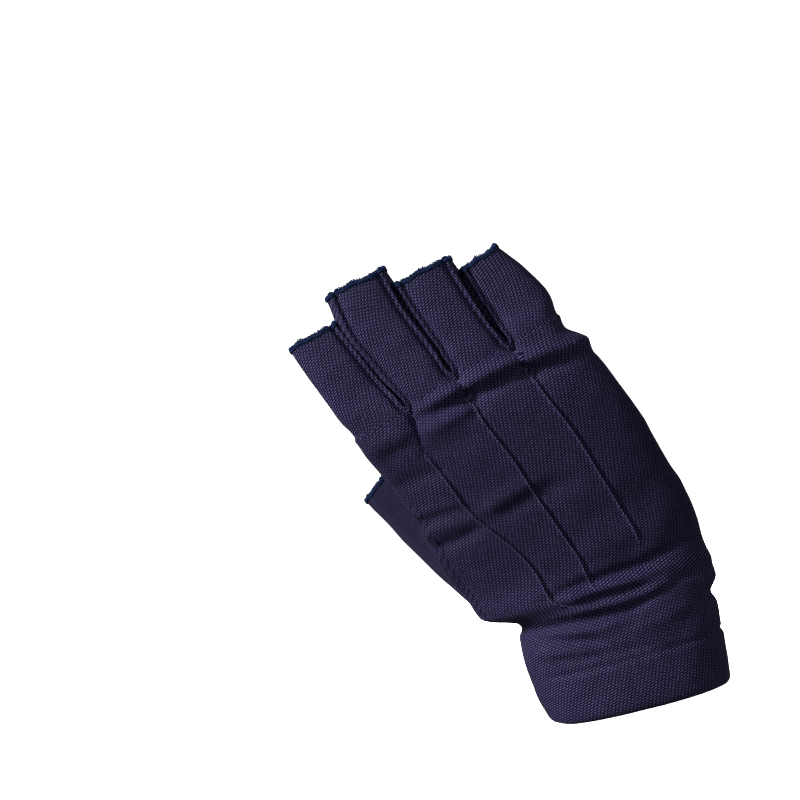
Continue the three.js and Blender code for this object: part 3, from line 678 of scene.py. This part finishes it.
# Folds of the back run on round the hand's edges and fade there, before the palm.
fold_share = {-1: smooth(FADE_NORMAL, 0, outward[:, 1]), 0: 1, 1: smooth(0, FADE_NORMAL, outward[:, 1])}
for side, folds in ((-1, BACK_FOLDS), (0, EDGE_FOLDS), (1, PALM_FOLDS)):
    for fold in folds:
        lift += fold_height(fold, points[:, [0, 2]]) * fold_share[side] * (sides != THUMB_SIDE)

body_points = np.array(body)
for tuck, place in zip(TUCKS, TUCK_PLACES):
    for r, h in enumerate(heights):
        if not tuck["bottom"] <= h <= tuck["top"]:
            continue
        centre = layout[tuck["fork"]]["back_start"]
        offset = body_u[r, :columns] - body_u[r, centre]
        rise = between(tuck["bottom"], tuck["top"], TUCK_END, h)
        lift[body_points[r]] += rise * relief(TUCK, offset) * (top_sides < 0)
for r, h in enumerate(heights):
    offset = body_u[r, :columns] - body_u[r, 0]
    rise = between(**SIDE_SEAM_ENDS, value=h)
    lift[body_points[r]] += rise * relief(SIDE_SEAM, offset) * (top_sides < 0)

# A rib beside each finger gap. The strip between the fingers follows it at the seam.
cord_lift = np.zeros(len(points))
for side, bells in ((-1, RIB), (0, [dict(height=relief(RIB, 0), at=0, width=RIB_SEAM_WIDTH)])):
    own = np.flatnonzero((sides == side) & (points[:, 2] > RIB_FOOT))
    for lines in seam_lines.values():
        far = np.minimum(*(line_distance(points[own], points[line]) for line in lines))
        cord_lift[own] += relief(bells, far)
hem_far = points[:, 2] - HEM_LINE["at"] - HEM_LINE["slant"] * points[:, 0]
lift += ((HEM_LINE["groove"] * bell(hem_far, HEM_LINE["width"])
          + HEM_LINE["swell"] * smooth(0, -HEM_LINE["step"], hem_far))
         * smooth(HEM_LINE["fade_to"], HEM_LINE["fade_from"], points[:, 0]))
lip_share = np.clip(1 - points[:, 2] / HEM_LIP["height"], 0, 1)
lift -= HEM_LIP["pull"] * (1 - np.sqrt(1 - lip_share**2))
toward_back = outward + np.array([0, -1, 0])
toward_back /= np.linalg.norm(toward_back, axis=1)[:, None] + 1e-9
shown = points + outward * lift[:, None] + toward_back * cord_lift[:, None]
outward = outward_at(shown)


# Making meshes.
def add_object(name, data):
    thing = bpy.data.objects.new(name, data)
    bpy.context.scene.collection.objects.link(thing)
    return thing


def make_mesh(name, places, faces, uv=None, sharp=None):
    mesh = bpy.data.meshes.new(name)
    mesh.from_pydata((np.asarray(places) * MM).tolist(), [], faces)
    if uv is not None:
        layer = mesh.uv_layers.new(name="cloth")
        layer.data.foreach_set("uv", np.asarray(uv, dtype=np.float32).ravel())
    mesh.polygons.foreach_set("use_smooth", [True] * len(mesh.polygons))
    if sharp:
        pairs = np.empty(len(mesh.edges) * 2, dtype=np.int32)
        mesh.edges.foreach_get("vertices", pairs)
        pairs = pairs.reshape(-1, 2)
        marks = [(min(a, b), max(a, b)) in sharp for a, b in pairs.tolist()]
        mesh.attributes.new("sharp_edge", "BOOLEAN", "EDGE").data.foreach_set("value", marks)
    mesh.validate()
    return add_object(name, mesh)


def cloth_piece(name):
    own = piece_names == name
    quads, quad_uv = corners[own], uvs[own]
    used = np.unique(quads)
    number = np.zeros(len(shown), dtype=int)
    number[used] = np.arange(len(used))
    q = number[quads]
    count = len(used)
    inner = q[:, [0, 3, 2, 1]] + count
    inner_uv = quad_uv[:, [0, 3, 2, 1]]
    edges = {}
    for row, uv in zip(q.tolist(), quad_uv.tolist()):
        for k in range(4):
            edges[(row[k], row[(k + 1) % 4])] = (uv[k], uv[(k + 1) % 4])
    walls, wall_uv, sharp = [], [], set()
    for (a, b), (uva, uvb) in edges.items():
        if (b, a) in edges:
            continue
        walls.append([b, a, a + count, b + count])
        wall_uv.append([uvb, uva, (uva[0] + CLOTH, uva[1]), (uvb[0] + CLOTH, uvb[1])])
        sharp.add((min(a, b), max(a, b)))
        sharp.add((min(a, b) + count, max(a, b) + count))
    places = np.vstack([shown[used], shown[used] - outward[used] * CLOTH])
    faces = q.tolist() + inner.tolist() + walls
    uv = np.concatenate([quad_uv.reshape(-1, 2), inner_uv.reshape(-1, 2), np.array(wall_uv).reshape(-1, 2)])
    return make_mesh(name, places, faces, uv, sharp)


def band_piece(name, ring_places):
    """A closed band: ring_places[k][c] is profile point k at column c."""
    size, count = len(ring_places), len(ring_places[0])
    faces, uv = [], []
    run = ring_lengths(ring_places[0])
    height = ring_lengths(np.array([ring[0] for ring in ring_places]))
    for c in range(count):
        n = (c + 1) % count
        for k in range(size):
            m = (k + 1) % size
            faces.append([k * count + c, k * count + n, m * count + n, m * count + c])
            uv.append([(run[c], height[k]), (run[c + 1], height[k]), (run[c + 1], height[k + 1]),
                       (run[c], height[k + 1])])
    return make_mesh(name, np.vstack(ring_places), faces, np.array(uv).reshape(-1, 2))


def ring_faces(rings, size, base=0):
    """Facets between rings of points, each ring and the next."""
    faces = []
    for k in range(rings - 1):
        low, high = base + k * size, base + (k + 1) * size
        for a in range(size):
            b = (a + 1) % size
            faces.append([low + a, low + b, high + b, high + a])
    return faces


TUBE_HELPER = np.array([0.3, 0.2, 0.93])    # any direction that no thread runs along


def tubes(name, paths, radius, around=5):
    """Round threads along many paths, each closed at its ends."""
    places, faces = [], []
    for path in paths:
        path = np.asarray(path, dtype=float)
        tangent = np.gradient(path, axis=0)
        tangent /= np.linalg.norm(tangent, axis=1)[:, None] + 1e-9
        first = np.cross(tangent, TUBE_HELPER)
        first /= np.linalg.norm(first, axis=1)[:, None] + 1e-9
        second = np.cross(tangent, first)
        base = len(places)
        for k in range(len(path)):
            for a in range(around):
                t = 2 * math.pi * a / around
                places.append(path[k] + radius * (math.cos(t) * first[k] + math.sin(t) * second[k]))
        faces += ring_faces(len(path), around, base)
        faces.append([base + a for a in reversed(range(around))])
        faces.append([base + (len(path) - 1) * around + a for a in range(around)])
    return make_mesh(name, places, faces)


# Materials.
def new_material(name):
    material = bpy.data.materials.new(name)
    material.use_nodes = True
    return material, material.node_tree, material.node_tree.nodes["Principled BSDF"]


def set_values(node, values):
    for name, value in values.items():
        node.inputs[name].default_value = value


def shader_math(tree, operation, *values):
    node = tree.nodes.new("ShaderNodeMath")
    node.operation = operation
    for socket, value in zip(node.inputs, values):
        if isinstance(value, (int, float)):
            socket.default_value = value
        else:
            tree.links.new(value, socket)
    return node.outputs[0]


def smooth_step(tree, value, start, stop):
    """0 at start and 1 at stop, smoothly."""
    node = tree.nodes.new("ShaderNodeMapRange")
    node.interpolation_type = "SMOOTHSTEP"
    set_values(node, {"From Min": start, "From Max": stop})
    tree.links.new(value, node.inputs["Value"])
    return node.outputs["Result"]


def noise(tree, place, scale, detail):
    node = tree.nodes.new("ShaderNodeTexNoise")
    set_values(node, {"Scale": scale, "Detail": detail})
    tree.links.new(place, node.inputs["Vector"])
    return node.outputs["Fac"]


def color_between(tree, share, first, second, shader):
    """Gives the shader a colour that goes from the first to the second."""
    node = tree.nodes.new("ShaderNodeMix")
    node.data_type = "RGBA"
    node.inputs[6].default_value = (*first, 1)
    node.inputs[7].default_value = (*second, 1)
    tree.links.new(share, node.inputs[0])
    tree.links.new(node.outputs[2], shader.inputs["Base Color"])


# Knit: a square-set grid turned on the cloth, with one slanting stitch in each cell. Soft is how
# far in and out of a stitch's oval its edge runs; sway is how far the rows wander.
KNIT = dict(across=1.22, along=1.08, grid=-25, stitch=45, long=0.78, short=0.23, relief=0.2,
            bump=0.9, soft_out=1.15, soft_in=0.45, sway=0.5)
SWAY_NOISE = dict(scale=0.35, detail=2)
PATCH_NOISE = dict(scale=0.06, detail=4)
BRIGHTNESS = dict(base=0.52, grain=0.35, patch=0.5)     # of a stitch: common, its own, its area's
# Painted shade: over the back of the hand the stitches are painted darker than on the fingers and the cuff.
PAINTED_BACK_SHADE = dict(start=46, full=60, ease=108, stop=122, fade=0.42)
THREAD_NOISE = dict(scale=900, detail=3)
THREAD_SHADES = (0.45, 1.5)             # darkest and lightest, as shares of the thread's colour
CLOTH_SURFACE = {"Roughness": 0.72, "Specular IOR Level": 0.07, "Sheen Weight": 0.03,
                 "Sheen Roughness": 0.45, "Sheen Tint": (0.55, 0.52, 0.85, 1)}
THREAD_SURFACE = {"Roughness": 0.7, "Specular IOR Level": 0.12}
BACKDROP_SURFACE = {"Base Color": (0.9, 0.9, 0.9, 1), "Roughness": 1, "Specular IOR Level": 0,
                    "Emission Color": (1, 1, 1, 1), "Emission Strength": 1.0}


def knit_material(name, gap_shade_color, top_color):
    material, tree, shader = new_material(name)

    def m(operation, *values):
        return shader_math(tree, operation, *values)

    uv = tree.nodes.new("ShaderNodeUVMap")
    uv.uv_map = "cloth"
    cloth_place = uv.outputs[0]
    split = tree.nodes.new("ShaderNodeSeparateXYZ")
    tree.links.new(cloth_place, split.inputs[0])
    sway = m("MULTIPLY", m("SUBTRACT", noise(tree, cloth_place, **SWAY_NOISE), 0.5), KNIT["sway"])
    grid = math.radians(KNIT["grid"])
    plain_u, plain_v = m("ADD", split.outputs[0], sway), m("ADD", split.outputs[1], sway)
    u = m("DIVIDE", m("ADD", m("MULTIPLY", plain_u, math.cos(grid)),
                      m("MULTIPLY", plain_v, math.sin(grid))), KNIT["across"])
    v = m("DIVIDE", m("SUBTRACT", m("MULTIPLY", plain_v, math.cos(grid)),
                      m("MULTIPLY", plain_u, math.sin(grid))), KNIT["along"])
    cu = m("MULTIPLY", m("SUBTRACT", m("FRACT", u), 0.5), KNIT["across"])
    cv = m("MULTIPLY", m("SUBTRACT", m("FRACT", v), 0.5), KNIT["along"])
    turn = math.radians(KNIT["stitch"])
    along = m("ADD", m("MULTIPLY", cu, math.cos(turn)), m("MULTIPLY", cv, math.sin(turn)))
    cross = m("SUBTRACT", m("MULTIPLY", cv, math.cos(turn)), m("MULTIPLY", cu, math.sin(turn)))
    far = m("SQRT", m("ADD", m("POWER", m("ABSOLUTE", m("DIVIDE", along, KNIT["long"])), 2),
                      m("POWER", m("ABSOLUTE", m("DIVIDE", cross, KNIT["short"])), 2)))
    stitch = smooth_step(tree, far, KNIT["soft_out"], KNIT["soft_in"])

    # Each stitch has its own brightness, and so has each area of the cloth.
    seed = tree.nodes.new("ShaderNodeCombineXYZ")
    tree.links.new(m("FLOOR", u), seed.inputs[0])
    tree.links.new(m("FLOOR", v), seed.inputs[1])
    grain = tree.nodes.new("ShaderNodeTexWhiteNoise")
    grain.noise_dimensions = "2D"
    tree.links.new(seed.outputs[0], grain.inputs["Vector"])
    patch = noise(tree, cloth_place, **PATCH_NOISE)
    bright = m("ADD", m("MULTIPLY", grain.outputs["Value"], BRIGHTNESS["grain"]),
               m("ADD", m("MULTIPLY", patch, BRIGHTNESS["patch"]), BRIGHTNESS["base"]))
    place = tree.nodes.new("ShaderNodeTexCoord")
    height = tree.nodes.new("ShaderNodeSeparateXYZ")
    tree.links.new(place.outputs["Object"], height.inputs[0])
    # painted shade: between these heights, over the back of the hand, the stitches are painted darker
    back_shade = m("MULTIPLY", smooth_step(tree, height.outputs[2], PAINTED_BACK_SHADE["start"] * MM, PAINTED_BACK_SHADE["full"] * MM),
              smooth_step(tree, height.outputs[2], PAINTED_BACK_SHADE["stop"] * MM, PAINTED_BACK_SHADE["ease"] * MM))
    bright = m("MULTIPLY", bright, m("SUBTRACT", 1, m("MULTIPLY", back_shade, PAINTED_BACK_SHADE["fade"])))
    # painted shade: between the stitches the colour falls to the near-black gap colour; the stitch pattern
    # itself is the knit's own
    color_between(tree, m("MULTIPLY", stitch, bright), gap_shade_color, top_color, shader)

    bump = tree.nodes.new("ShaderNodeBump")
    set_values(bump, {"Strength": KNIT["bump"], "Distance": KNIT["relief"] * MM})
    tree.links.new(stitch, bump.inputs["Height"])
    tree.links.new(bump.outputs["Normal"], shader.inputs["Normal"])
    set_values(shader, CLOTH_SURFACE)
    return material


def thread_material(name, color):
    material, tree, shader = new_material(name)
    place = tree.nodes.new("ShaderNodeTexCoord")
    dark, light = ([c * shade for c in color] for shade in THREAD_SHADES)
    color_between(tree, noise(tree, place.outputs["Object"], **THREAD_NOISE), dark, light, shader)
    set_values(shader, THREAD_SURFACE)
    return material


# The first colour is painted shade in the gaps between the stitches; the second is the stitches' own
# colour.
cloth_look = knit_material("knit_cloth", (0.0014, 0.0011, 0.0082), (0.058, 0.051, 0.130))
edge_look = thread_material("edge_thread", (0.0035, 0.0115, 0.046))
seam_look = thread_material("seam_thread", (0.060, 0.056, 0.125))


def keep(thing, look, *nodes, slot="knit_cloth"):
    thing.data.materials.append(look)
    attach(thing, "root")
    if nodes:
        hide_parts(*nodes)
    return thing


keep(cloth_piece("trank"), cloth_look, "trank_back", "trank_palm")
for name in ("fourchette_1", "fourchette_2", "fourchette_3", "thumb_stall"):
    keep(cloth_piece(name), cloth_look, name)

# Hem: the rounded lip of the cuff and the layer turned in behind it.
HEM_LAYER = dict(inner=2.3, outer=1.2, foot=1.1, heights=(0.6, 2, 4, 7, 10, 13, 16, 18.5))
HEM_FOOT = [dict(depth=0.35, drop=0.35), dict(depth=0.9, drop=0.75), dict(depth=1.6, drop=0.75),
            dict(depth=2.2, drop=0.3)]
hem_rows = [int(np.argmin(np.abs(heights - h))) for h in HEM_LAYER["heights"]]


def hem_ring(row, depth, drop=0.0):
    ring = body_points[row]
    result = shown[ring] - outward[ring] * depth
    result[:, 2] -= drop
    return result


hem_profile = ([hem_ring(0, **place) for place in HEM_FOOT]
               + [hem_ring(r, HEM_LAYER["inner"]) for r in hem_rows]
               + [hem_ring(r, HEM_LAYER["outer"]) for r in reversed(hem_rows)]
               + [hem_ring(0, HEM_LAYER["foot"])])
keep(band_piece("cuff_hem", hem_profile), cloth_look, "cuff_hem")

# Small slanted stitches along the crest of each tuck.
STITCH = dict(pitch=1.3, length=0.95, slant=0.3, across=-0.4, rise=0.06, radius=0.13,
              from_bottom=1.5, from_top=3, uneven=(0.6, 1.2))


def on_back(fork, height, across):
    """A point just above the cloth, at a height and a distance from a fork's column."""
    row = float(np.interp(height, heights, np.arange(len(heights))))
    centre = layout[fork]["back_start"]
    near = slice(centre - 8, centre + 9)
    found = []
    for r in (int(row), int(row) + 1):
        own = body_points[r, near]
        offset = body_u[r, near] - body_u[r, centre]
        raised = shown[own] + outward[own] * STITCH["rise"]
        found.append(np.array([np.interp(across, offset, raised[:, k]) for k in range(3)]))
    return found[0] + (found[1] - found[0]) * (row - int(row))


stitches = []
for tuck in TUCKS:
    first, last = tuck["bottom"] + STITCH["from_bottom"], tuck["top"] - STITCH["from_top"]
    for k in range(round((last - first) / STITCH["pitch"])):
        start = first + k * STITCH["pitch"]
        lean = STITCH["slant"] * rng.uniform(*STITCH["uneven"])
        stitches.append([on_back(tuck["fork"], start + STITCH["length"] * s,
                                 STITCH["across"] + lean * (s - 0.5)) for s in (0, 0.35, 0.65, 1)])
keep(tubes("tuck_stitches", stitches, STITCH["radius"]), seam_look, slot="edge_thread")

# Overlocked edges: thread loops over the end of each stall, on a narrow band of cloth.
EDGE = dict(pitch=0.55, radius=0.19, out=0.22, rise=1.25, slant=0.8)
UNEVEN = dict(along=(-0.12, 0.12), rise=(-0.25, 0.3), out=(-0.05, 0.12))    # from loop to loop
# Unevenness of the edge round the opening; the first wave starts elsewhere on each opening.
EDGE_WAVES = [dict(turns=3, size=0.28), dict(turns=7, size=0.22, start=1.3),
              dict(turns=13, size=0.16, start=2.1)]
# A loop, from outside the cloth over its end to the inside: share of its slant, place below the
# top, depth into the cloth, and share of the thread's distance outside it.
LOOP = [
    dict(share=0, below=1.45, depth=0, out=0.3),
    dict(share=0.2, below=0.95, depth=0, out=1),
    dict(share=0.45, below=0.9, depth=-0.1, out=1),
    dict(share=0.6, below=0.2, depth=0, out=0.6),
    dict(share=0.7, below=-0.12, depth=0.45, out=0),
    dict(share=0.85, below=0.3, depth=1.1, out=0),
    dict(share=1, below=1.4, depth=1.35, out=0),
]
CHAIN = dict(below=1.3, swing=0.22, out=0.3)    # the zigzag thread that ties the loops
EDGE_BAND = [dict(up=-0.3, depth=-0.08), dict(up=0.75, depth=-0.06), dict(up=1.15, depth=0.35),
             dict(up=1.15, depth=0.75), dict(up=0.75, depth=1.1), dict(up=-0.3, depth=1.08)]

for name, ring in openings.items():
    places, normals = shown[ring], outward[ring]
    middle = places.mean(axis=0)
    axis = np.cross(places - middle, np.roll(places, -1, axis=0) - middle).sum(axis=0)
    axis /= np.linalg.norm(axis)
    run = ring_lengths(places)
    total = run[-1]
    closed = np.hstack([np.vstack([places, places[:1]]), np.vstack([normals, normals[:1]])])

    def at_run(s):
        """Place and outward direction at a length along the opening's edge."""
        both = np.array([np.interp(s % total, run, column) for column in closed.T])
        normal = both[3:] - axis * (both[3:] @ axis)
        return both[:3], normal / np.linalg.norm(normal)

    def wave(s):
        t = 2 * math.pi * s / total
        return sum(w["size"] * math.sin(w["turns"] * t + w.get("start", len(name))) for w in EDGE_WAVES)

    loops = []
    count = round(total / EDGE["pitch"])
    for k in range(count):
        s = total * k / count + rng.uniform(*UNEVEN["along"])
        top = EDGE["rise"] + wave(s) + rng.uniform(*UNEVEN["rise"])
        out = EDGE["out"] + rng.uniform(*UNEVEN["out"])
        path = []
        for spot in LOOP:
            p, n = at_run(s + EDGE["slant"] * spot["share"])
            path.append(p + axis * (top - spot["below"]) - n * (spot["depth"] - out * spot["out"]))
        loops.append(path)
    chain = []
    for k in range(count * 2 + 1):
        s = total * k / (count * 2)
        p, n = at_run(s)
        height = EDGE["rise"] + wave(s) - CHAIN["below"] + CHAIN["swing"] * (-1) ** k
        chain.append(p + axis * height + n * CHAIN["out"])
    loops.append(chain)
    keep(tubes(f"{name}_loops", loops, EDGE["radius"]), edge_look, slot="edge_thread")

    profile = []
    for spot in EDGE_BAND:
        row = []
        for k in range(len(ring)):
            p, n = at_run(run[k])
            rise = spot["up"] + (wave(run[k]) if spot["up"] > 0 else 0)
            row.append(p + axis * rise - n * spot["depth"])
        profile.append(np.array(row))
    keep(band_piece(f"{name}_edge", profile), edge_look, f"{name}_edge", slot="edge_thread")

# Stage, light and camera, in metres.
STAGE = dict(floor=-0.1, radius=1.5, cove=0.5, top=1.9, shift=-0.03, turns=96, cove_rows=16)
LIGHT_TARGET = (-0.03, 0, 0.09)


def bowl():
    profile = [(0.0, STAGE["floor"]), (STAGE["radius"] - STAGE["cove"], STAGE["floor"])]
    for k in range(1, STAGE["cove_rows"] + 1):
        t = math.pi / 2 * k / STAGE["cove_rows"]
        profile.append((STAGE["radius"] - STAGE["cove"] + STAGE["cove"] * math.sin(t),
                        STAGE["floor"] + STAGE["cove"] * (1 - math.cos(t))))
    profile.append((STAGE["radius"], STAGE["top"]))
    places, turns = [], STAGE["turns"]
    for r, z in profile:
        for a in range(turns):
            t = 2 * math.pi * a / turns
            places.append((r * math.cos(t) / MM, r * math.sin(t) / MM, z / MM))
    thing = make_mesh("backdrop", places, ring_faces(len(profile), turns))
    thing.location.x = STAGE["shift"]
    look, _, shader = new_material("backdrop_white")
    set_values(shader, BACKDROP_SURFACE)
    thing.data.materials.append(look)
    return thing


stage = bowl()
stage.visible_diffuse = False
stage.visible_glossy = False
stage.visible_shadow = False

world = bpy.data.worlds.new("soft_white")
bpy.context.scene.world = world
world.use_nodes = True
set_values(world.node_tree.nodes["Background"], {"Color": (1, 1, 1, 1), "Strength": 0.2})


def area_light(name, place, size, power):
    data = bpy.data.lights.new(name, "AREA")
    data.shape = "DISK"
    data.size = size
    data.energy = power
    thing = add_object(name, data)
    thing.location = place
    aim = Vector(LIGHT_TARGET) - Vector(place)
    thing.rotation_euler = aim.to_track_quat("-Z", "Y").to_euler()
    thing.visible_camera = False


area_light("key", place=(-0.88, -0.52, 0.72), size=0.28, power=33)
area_light("fill", place=(0.2, -1.1, 0.5), size=0.8, power=5)
area_light("palm_fill", place=(-0.08, 1.2, 0.2), size=0.25, power=16)

CAMERA = dict(place=(-58, -780, 127.6), up=(0.2411, 0, 0.9705), lens=96.5)
camera_data = bpy.data.cameras.new("photo_camera")
camera = add_object("photo_camera", camera_data)
camera_data.lens = CAMERA["lens"]
camera_data.sensor_width = 36
camera_data.clip_start = 0.01
up = Vector(CAMERA["up"]).normalized()
back = Vector((0, -1, 0))
right = up.cross(back)
turn = Matrix((right, up, back)).transposed().to_4x4()
camera.matrix_world = Matrix.Translation(Vector(CAMERA["place"]) * MM) @ turn
bpy.context.scene.camera = camera
bpy.context.scene.view_settings.view_transform = "Standard"
bpy.context.scene.view_settings.look = "None"
